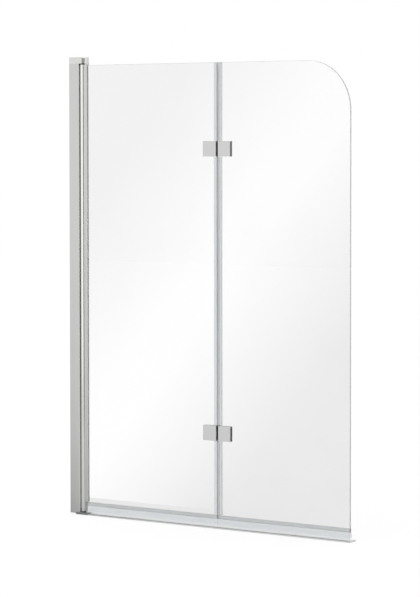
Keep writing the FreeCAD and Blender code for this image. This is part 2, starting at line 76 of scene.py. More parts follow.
def placeCamera(values):
    camera = bpy.data.objects.new("photoCamera", bpy.data.cameras.new("photoCamera"))
    turn = Matrix.Rotation(math.radians(values["turn"]), 4, "Z")
    tilt = Matrix.Rotation(math.radians(90 - values["downTilt"]), 4, "X")
    roll = Matrix.Rotation(math.radians(values["roll"]), 4, "Z")
    camera.matrix_world = Matrix.Translation(values["location"]) @ turn @ tilt @ roll
    camera.data.sensor_width = values["sensor"]
    camera.data.lens = values["lens"]
    camera.data.shift_y = values["shiftY"]
    camera.data.clip_start, camera.data.clip_end = values["clip"]
    scene.collection.objects.link(camera)
    scene.camera = camera


placeCamera(cameraPlace)
print("camera placed")


# helpers for node trees

def newMaterial(name):
    material = bpy.data.materials.new(name)
    material.use_nodes = True
    return material, material.node_tree, material.node_tree.nodes["Principled BSDF"]


def addNode(tree, kind, values=None, **settings):
    node = tree.nodes.new(kind)
    for key, value in settings.items():
        setattr(node, key, value)
    for key, value in (values or {}).items():
        node.inputs[key].default_value = value
    return node


def wire(tree, fromNode, output, toNode, target):
    tree.links.new(fromNode.outputs[output], toNode.inputs[target])


def rgba(colour):
    return (*colour, 1.0)


# effects shared by several materials, one node group each

# inputs and outputs are (name, kind) pairs
def newGroup(name, inputs, outputs):
    group = bpy.data.node_groups.new(name, "ShaderNodeTree")
    for label, kind in inputs:
        group.interface.new_socket(name=label, in_out="INPUT", socket_type="NodeSocket" + kind)
    for label, kind in outputs:
        group.interface.new_socket(name=label, in_out="OUTPUT", socket_type="NodeSocket" + kind)
    return group, addNode(group, "NodeGroupInput"), addNode(group, "NodeGroupOutput")


grainNoise = {"Detail": 6.0, "Roughness": 0.6}


# fine grain: a colour a little lighter and darker, a roughness that varies, a height for bump
def makeSurfaceGrain():
    inputs = [("Vector", "Vector"), ("Scale", "Float"), ("Colour", "Color"), ("Shade", "Float"),
              ("Roughness", "Float"), ("Spread", "Float")]
    outputs = [("Colour", "Color"), ("Roughness", "Float"), ("Height", "Float")]
    group, start, end = newGroup("surfaceGrain", inputs, outputs)
    noise = addNode(group, "ShaderNodeTexNoise", grainNoise)
    wire(group, start, "Vector", noise, "Vector")
    wire(group, start, "Scale", noise, "Scale")
    centred = addNode(group, "ShaderNodeMath", operation="SUBTRACT")
    wire(group, noise, "Fac", centred, 0)
    centred.inputs[1].default_value = 0.5
    shade = addNode(group, "ShaderNodeMath", operation="MULTIPLY_ADD")
    wire(group, centred, "Value", shade, 0)
    wire(group, start, "Shade", shade, 1)
    shade.inputs[2].default_value = 1.0
    tint = addNode(group, "ShaderNodeVectorMath", operation="SCALE")
    wire(group, start, "Colour", tint, 0)
    wire(group, shade, "Value", tint, "Scale")
    rough = addNode(group, "ShaderNodeMath", operation="MULTIPLY_ADD", use_clamp=True)
    wire(group, centred, "Value", rough, 0)
    wire(group, start, "Spread", rough, 1)
    wire(group, start, "Roughness", rough, 2)
    wire(group, tint, "Vector", end, "Colour")
    wire(group, rough, "Value", end, "Roughness")
    wire(group, noise, "Fac", end, "Height")
    return group


handlingNoise = {"Detail": 3.0, "Roughness": 0.45}
handlingEdge = {"From Min": 0.48, "From Max": 0.72}      # part of the noise that leaves a mark


# broad soft patches where hands and water leave a surface a little duller
def makeHandling():
    inputs = [("Vector", "Vector"), ("Scale", "Float"),
              ("Roughness", "Float"), ("Dulling", "Float")]
    group, start, end = newGroup("handling", inputs, [("Roughness", "Float"), ("Mask", "Float")])
    noise = addNode(group, "ShaderNodeTexNoise", handlingNoise)
    wire(group, start, "Vector", noise, "Vector")
    wire(group, start, "Scale", noise, "Scale")
    patch = addNode(group, "ShaderNodeMapRange", handlingEdge, interpolation_type="SMOOTHSTEP")
    wire(group, noise, "Fac", patch, "Value")
    rough = addNode(group, "ShaderNodeMath", operation="MULTIPLY_ADD", use_clamp=True)
    wire(group, patch, "Result", rough, 0)
    wire(group, start, "Dulling", rough, 1)
    wire(group, start, "Roughness", rough, 2)
    wire(group, rough, "Value", end, "Roughness")
    wire(group, patch, "Result", end, "Mask")
    return group


surfaceGrain = makeSurfaceGrain()
handling = makeHandling()


# grey levels of a colour ramp, as (place, level) pairs
def setStops(ramp, stops):
    while len(ramp.color_ramp.elements) < len(stops):
        ramp.color_ramp.elements.new(0.5)
    for element, (where, level) in zip(ramp.color_ramp.elements, stops):
        element.position = where
        element.color = rgba((level, level, level))


grainSockets = {"scale": "Scale", "shade": "Shade", "roughness": "Roughness", "spread": "Spread"}


# grain and faint bump on the piece's own coordinates, drawn out by stretch
def addGrain(tree, place, shader, values, stretch):
    lengthen = addNode(tree, "ShaderNodeMapping")
    lengthen.inputs["Scale"].default_value = stretch
    wire(tree, place, "Object", lengthen, "Vector")
    grain = addNode(tree, "ShaderNodeGroup", node_tree=surfaceGrain)
    wire(tree, lengthen, "Vector", grain, "Vector")
    for key, socket in grainSockets.items():
        grain.inputs[socket].default_value = values[key]
    grain.inputs["Colour"].default_value = rgba(values["colour"])
    relief = {"Strength": values["bump"], "Distance": values["bumpDepth"]}
    bump = addNode(tree, "ShaderNodeBump", relief)
    wire(tree, grain, "Height", bump, "Height")
    wire(tree, grain, "Colour", shader, "Base Color")
    wire(tree, bump, "Normal", shader, "Normal")
    return grain


# a finish with grain and soft patches
def grainedFinish(name, values):
    material, tree, shader = newMaterial(name)
    place = addNode(tree, "ShaderNodeTexCoord")
    grain = addGrain(tree, place, shader, values, values["stretch"])
    patches = addNode(tree, "ShaderNodeGroup", node_tree=handling)
    wire(tree, place, "Object", patches, "Vector")
    patches.inputs["Scale"].default_value = values["patchScale"]
    patches.inputs["Dulling"].default_value = values["dulling"]
    wire(tree, grain, "Roughness", patches, "Roughness")
    wire(tree, patches, "Roughness", shader, "Roughness")
    shader.inputs["Metallic"].default_value = values["metallic"]
    return material


profileFinish = {            # bright polished aluminium, drawn along its length
    "colour": (0.61, 0.61, 0.605), "metallic": 1.0,
    "roughness": 0.13, "spread": 0.10, "shade": 0.10,
    "scale": 900.0, "stretch": (1.0, 1.0, 0.004),
    "patchScale": 7.0, "dulling": 0.05, "bump": 0.06, "bumpDepth": 0.0002,
}
stripFinish = dict(       # thin strip on the rim, drawn along the rim
    profileFinish, colour=(0.66, 0.67, 0.67), roughness=0.24, stretch=(0.004, 1.0, 1.0))
chromeFinish = {             # polished chrome on the hinge leaves
    "colour": (0.625, 0.625, 0.625), "metallic": 1.0,
    "roughness": 0.06, "spread": 0.03, "shade": 0.04,
    "scale": 260.0, "stretch": (1.0, 1.0, 1.0),
    "patchScale": 45.0, "dulling": 0.05, "bump": 0.03, "bumpDepth": 0.0001,
}
steelFinish = {              # turned stainless steel pins and screws
    "colour": (0.52, 0.51, 0.50), "metallic": 1.0,
    "roughness": 0.25, "spread": 0.15, "shade": 0.12,
    "scale": 1500.0, "stretch": (0.05, 0.05, 1.0),
    "patchScale": 60.0, "dulling": 0.06, "bump": 0.15, "bumpDepth": 0.0001,
}
capFinish = {                # chromed moulded caps, a little brighter than the profile
    "colour": (0.70, 0.70, 0.695), "metallic": 1.0,
    "roughness": 0.16, "spread": 0.06, "shade": 0.06,
    "scale": 420.0, "stretch": (1.0, 1.0, 1.0),
    "patchScale": 40.0, "dulling": 0.08, "bump": 0.10, "bumpDepth": 0.0001,
}
bearingFinish = {            # mid grey moulded shoe
    "colour": (0.20, 0.20, 0.20), "metallic": 0.0,
    "roughness": 0.45, "spread": 0.18, "shade": 0.18,
    "scale": 1100.0, "stretch": (1.0, 1.0, 1.0),
    "patchScale": 50.0, "dulling": 0.1, "bump": 0.25, "bumpDepth": 0.0001,
}
bushFinish = dict(bearingFinish, colour=(0.04, 0.04, 0.042), roughness=0.38)
rubberFinish = {             # grey rubber of the corner block and the pads
    "colour": (0.42, 0.425, 0.43), "metallic": 0.0,
    "roughness": 0.55, "spread": 0.16, "shade": 0.15,
    "scale": 1700.0, "stretch": (1.0, 1.0, 1.0),
    "patchScale": 60.0, "dulling": 0.12, "bump": 0.3, "bumpDepth": 0.0001,
}
gasketFinish = dict(      # pale rubber in the glass pocket
    rubberFinish, colour=(0.74, 0.75, 0.76), roughness=0.45)
pocketCapFinish = {          # pale satin moulded cap on the glass pocket
    "colour": (0.80, 0.80, 0.79), "metallic": 0.0,
    "roughness": 0.35, "spread": 0.12, "shade": 0.06,
    "scale": 1400.0, "stretch": (1.0, 1.0, 1.0),
    "patchScale": 40.0, "dulling": 0.08, "bump": 0.12, "bumpDepth": 0.0001,
}
nylonFinish = {              # white nylon washers and sleeves
    "colour": (0.80, 0.80, 0.78), "metallic": 0.0,
    "roughness": 0.4, "spread": 0.12, "shade": 0.06,
    "scale": 1600.0, "stretch": (1.0, 1.0, 1.0),
    "patchScale": 80.0, "dulling": 0.08, "bump": 0.15, "bumpDepth": 0.0001,
}
foamFinish = {               # closed cell foam tape under the rim strip
    "colour": (0.72, 0.72, 0.70), "metallic": 0.0,
    "roughness": 0.85, "spread": 0.2, "shade": 0.25,
    "scale": 2400.0, "stretch": (1.0, 1.0, 1.0),
    "patchScale": 90.0, "dulling": 0.1, "bump": 0.7, "bumpDepth": 0.0003,
}

glassFinish = {
    "tint": (0.808, 0.811, 0.808), "ior": 1.5,
    # the arris tint is partly a painted dark outline along the pane edges
    "edgeTint": (0.96, 0.99, 0.985), "arrisOutlineTint": (0.60, 0.62, 0.62), "edgeRoughness": 0.90,
    "edgeFacing": (0.98, 0.9), "flatFacing": (0.5, 0.3),     # normal along Y: none, full
    "patchScale": 3.2, "patchShade": 0.012,
}
mixFirst, mixSecond, mixResult = 6, 7, 2     # the colour sockets of a Mix node


# colour mixed by a mask, from a plain colour or another mix
def mixColour(tree, mask, output, first, second):
    mix = addNode(tree, "ShaderNodeMix", data_type="RGBA")
    wire(tree, mask, output, mix, 0)
    if isinstance(first, bpy.types.Node):
        wire(tree, first, mixResult, mix, mixFirst)
    else:
        mix.inputs[mixFirst].default_value = rgba(first)
    mix.inputs[mixSecond].default_value = rgba(second)
    return mix


# clear glass with flat polished faces and ground edges that scatter the light; the arris is tinted
# darker, partly its own ground grey and partly a painted dark outline
def glassMaterial(values):
    material, tree, shader = newMaterial("clearGlass")
    shader.inputs["Transmission Weight"].default_value = 1.0
    shader.inputs["IOR"].default_value = values["ior"]
    place = addNode(tree, "ShaderNodeTexCoord")
    split = addNode(tree, "ShaderNodeSeparateXYZ")
    wire(tree, place, "Normal", split, "Vector")
    facing = addNode(tree, "ShaderNodeMath", operation="ABSOLUTE")
    wire(tree, split, "Y", facing, 0)
    masks = []
    for none, full in (values["edgeFacing"], values["flatFacing"]):
        masks.append(addNode(tree, "ShaderNodeMapRange", {"From Min": none, "From Max": full}))
        wire(tree, facing, "Value", masks[-1], "Value")
    edge, flat = masks
    patches = addNode(tree, "ShaderNodeGroup", node_tree=handling)
    wire(tree, place, "Object", patches, "Vector")
    patches.inputs["Scale"].default_value = values["patchScale"]
    filmTint = [part - values["patchShade"] for part in values["tint"]]
    film = mixColour(tree, patches, "Mask", values["tint"], filmTint)
    # painted dark outline: the arris is tinted darker than the pane, partly the ground edge's own
    # grey
    arris = mixColour(tree, edge, "Result", film, values["arrisOutlineTint"])
    tint = mixColour(tree, flat, "Result", arris, values["edgeTint"])
    wire(tree, tint, mixResult, shader, "Base Color")
    ground = addNode(tree, "ShaderNodeMath", operation="MULTIPLY")
    wire(tree, edge, "Result", ground, 0)
    ground.inputs[1].default_value = values["edgeRoughness"]
    wire(tree, ground, "Value", shader, "Roughness")
    return material


clearStripFinish = {
    "colour": (0.90, 0.912, 0.918), "ior": 1.45,
    "roughness": 0.12, "spread": 0.08, "shade": 0.06,
    "scale": 700.0, "stretchUp": (1.0, 1.0, 0.01), "stretchAlong": (0.01, 1.0, 1.0),
    "bump": 0.08, "bumpDepth": 0.0002,
}
bottomSealFinish = dict(  # a duller grade of the same
    clearStripFinish, colour=(0.88, 0.895, 0.905), roughness=0.28)


# soft clear extrusion: faint draw lines along its length and a cool tint
def clearStripMaterial(name, values, stretch):
    material, tree, shader = newMaterial(name)
    shader.inputs["Transmission Weight"].default_value = 1.0
    shader.inputs["IOR"].default_value = values["ior"]
    grain = addGrain(tree, addNode(tree, "ShaderNodeTexCoord"), shader, values, values[stretch])
    wire(tree, grain, "Roughness", shader, "Roughness")
    return material


polishedProfile = grainedFinish("polishedProfile", profileFinish)
polishedStrip = grainedFinish("polishedStrip", stripFinish)
chrome = grainedFinish("chrome", chromeFinish)
turnedSteel = grainedFinish("turnedSteel", steelFinish)
chromedCap = grainedFinish("chromedCap", capFinish)
greyShoe = grainedFinish("greyShoe", bearingFinish)
darkBush = grainedFinish("darkBush", bushFinish)
greyRubber = grainedFinish("greyRubber", rubberFinish)
paleGasket = grainedFinish("paleGasket", gasketFinish)
paleCap = grainedFinish("paleCap", pocketCapFinish)
whiteNylon = grainedFinish("whiteNylon", nylonFinish)
foam = grainedFinish("foam", foamFinish)
clearGlass = glassMaterial(glassFinish)
clearUpright = clearStripMaterial("clearUpright", clearStripFinish, "stretchUp")
clearLevel = clearStripMaterial("clearLevel", bottomSealFinish, "stretchAlong")

slotFinish = {
    "profile_metal": polishedProfile, "hinge_chrome": chrome, "pin_steel": turnedSteel,
    "panel_glass": clearGlass, "clear_strip": clearUpright, "cap_chrome": chromedCap,
    "bearing_black": darkBush, "shoe_grey": greyShoe, "gasket_grey": greyRubber,
    "nylon_white": whiteNylon, "foam_tape": foam,
}
nodeFinish = {"rim_strip": polishedStrip, "pocket_cap": paleCap}
nodeSlot = {}
for name, node in nodes.items():
    nodeSlot[name] = node.material_slots[0].material.name
    finish = nodeFinish.get(name, slotFinish[nodeSlot[name]])
    for place in node.material_slots:
        place.material = finish
print("materials on", len(nodes), "nodes")


# soft pieces: built anew around the plain solids that they replace

# closed outline of a few points, drawn out along Z or X
def outlinePrism(points, low, high, along):
    mesh = bmesh.new()
    if along == "Z":
        corners = [mesh.verts.new((first, second, low)) for first, second in points]
        reach = Vector((0, 0, high - low))
    else:
        corners = [mesh.verts.new((low, first, second)) for first, second in points]
        reach = Vector((high - low, 0, 0))
    face = mesh.faces.new(corners)
    drawn = bmesh.ops.extrude_face_region(mesh, geom=[face])
    moved = [part for part in drawn["geom"] if isinstance(part, bmesh.types.BMVert)]
    bmesh.ops.translate(mesh, verts=moved, vec=reach)
    bmesh.ops.recalc_face_normals(mesh, faces=mesh.faces)
    return mesh


parallel = 0.999         # least cosine between an edge and the way the piece was drawn
nearWall = 0.25          # an edge this share of a wall away still counts as there


# edges that run the way the piece was drawn and whose place passes the test
def lengthEdges(mesh, along, keep):
    found = []
    for edge in mesh.edges:
        way = (edge.verts[1].co - edge.verts[0].co).normalized()
        middle = (edge.verts[0].co + edge.verts[1].co) / 2
        if abs(way["XYZ".index(along)]) > parallel and keep(middle):
            found.append(edge)
    return found


def roundEdges(mesh, edges, size, segments):
    bmesh.ops.bevel(mesh, geom=edges, offset=size, offset_type="OFFSET", affect="EDGES",
                    segments=segments, profile=0.5, material=-1, clamp_overlap=True)


# puts a second shape into the same piece
def addTo(mesh, other):
    spare = bpy.data.meshes.new("spare")
    other.to_mesh(spare)
    other.free()
    mesh.from_mesh(spare)
    bpy.data.meshes.remove(spare)


# makes the object, rides it on its body and hides the node it stands for
def finishPiece(name, mesh, finish, standsFor, body, sharpAngle=35):
    data = bpy.data.meshes.new(name)
    mesh.to_mesh(data)
    mesh.free()
    data.polygons.foreach_set("use_smooth", [True] * len(data.polygons))
    data.set_sharp_from_angle(angle=math.radians(sharpAngle))
    data.materials.append(finish)
    piece = bpy.data.objects.new(name, data)
    scene.collection.objects.link(piece)
    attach(piece, body)
    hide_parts(standsFor)


foldStrip = {
    "wall": 0.0011, "cornerRound": 0.0007, "lipRound": 0.0004, "lipSpring": 0.00006,
    "bulbWall": 0.0005, "bulbHalf": 0.0026, "segments": 3, "bulbSegments": 5,
}


# U round the glass edge; the lips lean in until they all but touch the glass
def foldGrip(values, low, high, openEnd, closedEnd, half):
    wall = values["wall"]
    way = 1 if closedEnd > openEnd else -1
    inside = half - wall
    spring = values["lipSpring"]
    points = [
        (openEnd, -half + spring), (closedEnd, -half), (closedEnd, half), (openEnd, half - spring),
        (openEnd, inside - spring), (closedEnd - way * wall, inside),
        (closedEnd - way * wall, -inside), (openEnd, -inside + spring),
    ]
    grip = outlinePrism(points, low, high, "Z")
    nearEnd = lambda spot: abs(spot.x - openEnd) < wall * nearWall
    atSide = lambda spot: abs(abs(spot.y) - half) < wall * nearWall
    corners = lengthEdges(grip, "Z", lambda spot: atSide(spot) and not nearEnd(spot))
    roundEdges(grip, corners, values["cornerRound"], values["segments"])
    roundEdges(grip, lengthEdges(grip, "Z", nearEnd), values["lipRound"], values["segments"])
    return grip


# soft hollow bulb that closes the gap to the other panel
def foldBulb(values, low, high, wallX, faceX):
    thin = values["bulbWall"]
    half = values["bulbHalf"] - thin / 2
    mesh = bmesh.new()
    line = [(wallX, -half), (faceX - thin / 2, -half), (faceX - thin / 2, half), (wallX, half)]
    spots = [mesh.verts.new((x, y, low)) for x, y in line]
    sides = [mesh.edges.new(pair) for pair in zip(spots, spots[1:])]
    drawn = bmesh.ops.extrude_edge_only(mesh, edges=sides)
    moved = [part for part in drawn["geom"] if isinstance(part, bmesh.types.BMVert)]
    bmesh.ops.translate(mesh, verts=moved, vec=(0, 0, high - low))
    bmesh.ops.recalc_face_normals(mesh, faces=mesh.faces)
    noses = lengthEdges(mesh, "Z", lambda spot: spot.x > faceX - thin)
    roundEdges(mesh, noses, (faceX - wallX) / 2, values["bulbSegments"])
    mesh.normal_update()
    middle = Vector(((wallX + faceX) / 2, 0, (low + high) / 2))
    outward = sum((face.normal.dot(face.calc_center_median() - middle) for face in mesh.faces))
    if outward < 0:
        bmesh.ops.reverse_faces(mesh, faces=mesh.faces)
        mesh.normal_update()
    bmesh.ops.solidify(mesh, geom=mesh.faces[:], thickness=thin)
    bmesh.ops.recalc_face_normals(mesh, faces=mesh.faces)
    return mesh


def makeFoldStrips(values):
    for place in ("lower", "middle", "upper"):
        inner, outer = "inner_fold_strip_" + place, "outer_fold_strip_" + place
        low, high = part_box(inner)
        outerLow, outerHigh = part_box(outer)
        closed = low.x + (outerHigh.x - outerLow.x)
        grip = foldGrip(values, low.z, high.z, low.x, closed, high.y)
        addTo(grip, foldBulb(values, low.z, high.z, closed - values["bulbWall"] / 2, high.x))
        finishPiece("foldSealInner" + place.title(), grip, clearUpright, inner, "inner_panel")
        grip = foldGrip(values, outerLow.z, outerHigh.z, outerHigh.x, outerLow.x, outerHigh.y)
        finishPiece("foldSealOuter" + place.title(), grip, clearUpright, outer, "outer_panel")


makeFoldStrips(foldStrip)
print("fold strips made")


bottomSeal = {
    "wall": 0.0011, "bridgeTop": 0.0249, "finDrop": 0.0045, "finThick": 0.0010, "finSag": 0.0012,
    "lipRound": 0.0004, "segments": 3, "bendRound": 0.0015,
    "tipLift": 0.002, "tipRoundShare": 0.35, "tipSegments": 2,
    # in shares of the fin's thickness
    "underBend": 0.8, "overBend": 0.5, "underTip": 0.6, "overTip": 0.7, "rootThick": 1.5,
}


# grip over the lower glass edge, skirt in front and a curved fin on the bath side
def makeBottomSeal(values, node, name, body):
    low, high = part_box(node)
    wall, thick = values["wall"], values["finThick"]
    half = -low.y
    inside = half - wall
    top, foot = high.z, low.z
    bridgeTop = values["bridgeTop"]
    bridge = bridgeTop - wall
    root = bridgeTop - values["finDrop"]
    tipY, tipZ = high.y, foot + values["tipLift"]
    bendY, bendZ = (half + tipY) / 2, (root + tipZ) / 2 - values["finSag"]
    points = [
        (-half, top), (-half, foot), (-inside, foot), (-inside, bridge), (inside, bridge),
        (inside, root), (bendY - thick * values["underBend"], bendZ),
        (tipY - thick * values["underTip"], tipZ), (tipY, tipZ + thick * values["overTip"]),
        (bendY + thick * values["overBend"], bendZ + thick),
        (half, root + thick * values["rootThick"]), (half, top),
        (inside, top), (inside, bridgeTop), (-inside, bridgeTop), (-inside, top),
    ]
    seal = outlinePrism(points, low.x, high.x, "X")
    bend = lengthEdges(seal, "X", lambda spot: spot.y > half + wall and spot.z > tipZ + thick)
    roundEdges(seal, bend, values["bendRound"], values["segments"])
    near = wall * nearWall
    lips = lengthEdges(seal, "X", lambda spot: spot.z > top - near or spot.z < foot + near)
    roundEdges(seal, lips, values["lipRound"], values["segments"])
    atTip = lambda spot: spot.y > tipY - thick and foot < spot.z < tipZ + thick
    tip = lengthEdges(seal, "X", atTip)
    roundEdges(seal, tip, thick * values["tipRoundShare"], values["tipSegments"])
    finishPiece(name, seal, clearLevel, node, body)


makeBottomSeal(bottomSeal, "inner_bottom_seal", "bottomSealInner", "inner_panel")
makeBottomSeal(bottomSeal, "outer_bottom_seal", "bottomSealOuter", "outer_panel")
print("bottom seals made")


gasket = {
    "glassHalf": 0.00305, "webEnd": 0.0570, "lipRound": 0.00025, "segments": 3,
    "lipReach": 1e-4,        # edges this near the end are lips
}


# U of soft rubber in the pocket, its lips a hair off the glass so that the pane shows it
def makeGasket(values):
    low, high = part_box("glazing_gasket")
    half, inner, web = high.y, values["glassHalf"], values["webEnd"]
    points = [
        (low.x, -half), (high.x, -half), (high.x, -inner), (web, -inner),
        (web, inner), (high.x, inner), (high.x, half), (low.x, half),
    ]
    mesh = outlinePrism(points, low.z, high.z, "Z")
    lips = lengthEdges(mesh, "Z", lambda spot: spot.x > high.x - values["lipReach"])
    roundEdges(mesh, lips, values["lipRound"], values["segments"])
    finishPiece("glazingGasket", mesh, paleGasket, "glazing_gasket", "inner_panel")


makeGasket(gasket)
print("gasket made")


softCopies = {
    "softened": 0.00018,     # pads between the leaves and the glass
    "blockRound": 0.0009, "blockSegments": 3,
    "tapeRound": 0.00035,
    "mergeDistance": 1e-6,
    "flatAngle": 1, "sharpAngle": 60, "smoothAngle": 50,     # degrees
}


# the same solid with its outer edges pressed round, as soft material has them
def softCopy(values, node, name, finish, body, size, segments=2):
    mesh = bmesh.new()
    mesh.from_mesh(nodes[node].data)
    bmesh.ops.remove_doubles(mesh, verts=mesh.verts, dist=values["mergeDistance"])
    bmesh.ops.dissolve_limit(mesh, angle_limit=math.radians(values["flatAngle"]),
                             use_dissolve_boundaries=False, verts=mesh.verts, edges=mesh.edges)
    least = math.radians(values["sharpAngle"])
    sharp = [edge for edge in mesh.edges if edge.is_manifold and edge.calc_face_angle(0) > least]
    roundEdges(mesh, sharp, size, segments)
    bmesh.ops.recalc_face_normals(mesh, faces=mesh.faces)
    finishPiece(name, mesh, finish, node, body, values["smoothAngle"])


def makeSoftCopies(values):
    softCopy(values, "corner_block", "cornerBlock", greyRubber, "inner_panel",
             values["blockRound"], values["blockSegments"])
    softCopy(values, "rim_tape", "rimTape", foam, "wall_side", values["tapeRound"])
    for place in ("lower", "upper"):
        for leaf in ("inner", "outer"):
            for side in ("front", "back"):
                node = f"{place}_hinge_{leaf}_{side}_pad"
                name = f"{place}{leaf.title()}{side.title()}Pad"
                softCopy(values, node, name, greyRubber, leaf + "_panel", values["softened"])


makeSoftCopies(softCopies)
print("soft copies made")


# studio: white surround, pale floor, soft light

studio = {
    "skyLight": 0.88, "floorSize": 26.0, "floorMiddle": (0.5, 0), "floorGap": 0.0002,
    "floorColour": (0.80, 0.80, 0.80), "floorRoughness": 0.9,
    "floorLift": 0.86, "shadowShare": 0.17,
    # painted shadow seen only in reflections: how it fades with distance, and its grey levels
    "floorReach": 10.0, "floorAside": 6.0, "floorAway": 5.5,     # how it brightens in reflections
    "reflectedShadowStops": ((0.0, 0.52), (0.05, 0.69), (0.20, 0.87), (0.40, 0.92), (0.97, 0.98)),
    "lampPower": 26.0, "lampSize": 1.6, "lampPlace": (-1.6, -3.4, 2.6), "lampAim": (0.5, 0.0, 0.7),
}
white = rgba((1, 1, 1))


# mask that is 1 for camera, glossy and transmission rays
def seenRays(tree, path):
    first = addNode(tree, "ShaderNodeMath", operation="MAXIMUM")
    wire(tree, path, "Is Camera Ray", first, 0)
    wire(tree, path, "Is Glossy Ray", first, 1)
    both = addNode(tree, "ShaderNodeMath", operation="MAXIMUM")
    wire(tree, first, "Value", both, 0)
    wire(tree, path, "Is Transmission Ray", both, 1)
    return both


def makeWorld(values):
    world = bpy.data.worlds.new("whiteSurround")
    scene.world = world
    world.use_nodes = True
    tree = world.node_tree
    tree.nodes.clear()
    output = addNode(tree, "ShaderNodeOutputWorld")
    path = addNode(tree, "ShaderNodeLightPath")
    seen = seenRays(tree, path)
    light = addNode(tree, "ShaderNodeBackground", {"Color": white, "Strength": values["skyLight"]})
    shown = addNode(tree, "ShaderNodeBackground", {"Color": white, "Strength": 1.0})
    choose = addNode(tree, "ShaderNodeMixShader")
    wire(tree, seen, "Value", choose, "Fac")
    wire(tree, light, "Background", choose, 1)
    wire(tree, shown, "Background", choose, 2)
    wire(tree, choose, "Shader", output, "Surface")


def stagePlane(name, size, middle, normal, material):
    mesh = bmesh.new()
    bmesh.ops.create_grid(mesh, x_segments=1, y_segments=1, size=0.5)
    bmesh.ops.scale(mesh, verts=mesh.verts, vec=(size[0], size[1], 1))
    facing = Vector(normal).to_track_quat("Z", "Y").to_matrix().to_4x4()
    bmesh.ops.transform(mesh, verts=mesh.verts, matrix=Matrix.Translation(middle) @ facing)
    data = bpy.data.meshes.new(name)
    mesh.to_mesh(data)
    mesh.free()
    data.materials.append(material)
    plane = bpy.data.objects.new(name, data)
    scene.collection.objects.link(plane)
    return plane


# pale floor: white where it is open, with the soft shadow kept;
# in reflections it shows a painted shadow, dimmer near the object
def floorMaterial(values):
    material, tree, shader = newMaterial("paleFloor")
    output = tree.nodes["Material Output"]
    shader.inputs["Base Color"].default_value = rgba(values["floorColour"])
    shader.inputs["Roughness"].default_value = values["floorRoughness"]
    shader.inputs["Specular IOR Level"].default_value = 0.0
    path = addNode(tree, "ShaderNodeLightPath")
    share = values["shadowShare"]
    shadow = addNode(tree, "ShaderNodeBsdfDiffuse", {"Color": rgba((share, share, share))})
    glow = addNode(tree, "ShaderNodeEmission", {"Color": white, "Strength": values["floorLift"]})
    openFloor = addNode(tree, "ShaderNodeAddShader")
    wire(tree, shadow, "BSDF", openFloor, 0)
    wire(tree, glow, "Emission", openFloor, 1)
    place = addNode(tree, "ShaderNodeTexCoord")
    split = addNode(tree, "ShaderNodeSeparateXYZ")
    wire(tree, place, "Object", split, "Vector")
    away = addNode(tree, "ShaderNodeMath", operation="ABSOLUTE")
    wire(tree, split, "Y", away, 0)
    aside = addNode(tree, "ShaderNodeMath", operation="MULTIPLY")
    wire(tree, split, "X", aside, 0)
    aside.inputs[1].default_value = values["floorAside"] / values["floorReach"]
    scaled = addNode(tree, "ShaderNodeMath", operation="MULTIPLY_ADD", use_clamp=True)
    wire(tree, away, "Value", scaled, 0)
    scaled.inputs[1].default_value = values["floorAway"] / values["floorReach"]
    wire(tree, aside, "Value", scaled, 2)
    # painted shadow for reflected rays: grey levels darker near the object
    ramp = addNode(tree, "ShaderNodeValToRGB")
    setStops(ramp, values["reflectedShadowStops"])
    wire(tree, scaled, "Value", ramp, "Fac")
    mirrored = addNode(tree, "ShaderNodeEmission", {"Strength": 1.0})
    wire(tree, ramp, "Color", mirrored, "Color")
    seen = addNode(tree, "ShaderNodeMath", operation="MAXIMUM")
    wire(tree, path, "Is Camera Ray", seen, 0)
    wire(tree, path, "Is Transmission Ray", seen, 1)
    direct = addNode(tree, "ShaderNodeMixShader")
    wire(tree, seen, "Value", direct, "Fac")
    wire(tree, shader, "BSDF", direct, 1)
    wire(tree, openFloor, "Shader", direct, 2)
    final = addNode(tree, "ShaderNodeMixShader")
    mirror = addNode(tree, "ShaderNodeMath", operation="SUBTRACT", use_clamp=True)
    wire(tree, path, "Is Glossy Ray", mirror, 0)
    wire(tree, path, "Is Transmission Ray", mirror, 1)
    wire(tree, mirror, "Value", final, "Fac")
    wire(tree, direct, "Shader", final, 1)
    wire(tree, mirrored, "Emission", final, 2)
    wire(tree, final, "Shader", output, "Surface")
    return material


def makeLamp(values):
    lamp = bpy.data.objects.new("softBox", bpy.data.lights.new("softBox", "AREA"))
    lamp.data.shape = "SQUARE"
    lamp.data.size = values["lampSize"]
    lamp.data.energy = values["lampPower"]
    lamp.location = values["lampPlace"]
    aim = Vector(values["lampAim"]) - Vector(values["lampPlace"])
    lamp.rotation_euler = aim.to_track_quat("-Z", "Y").to_euler()
    lamp.visible_camera = False
    lamp.visible_glossy = False
    lamp.visible_transmission = False
    scene.collection.objects.link(lamp)


makeWorld(studio)
size = studio["floorSize"]
floorMiddle = (*studio["floorMiddle"], cadLow.z - studio["floorGap"])
stagePlane("floor", (size, size), floorMiddle, (0, 0, 1), floorMaterial(studio))
makeLamp(studio)
print("studio made")


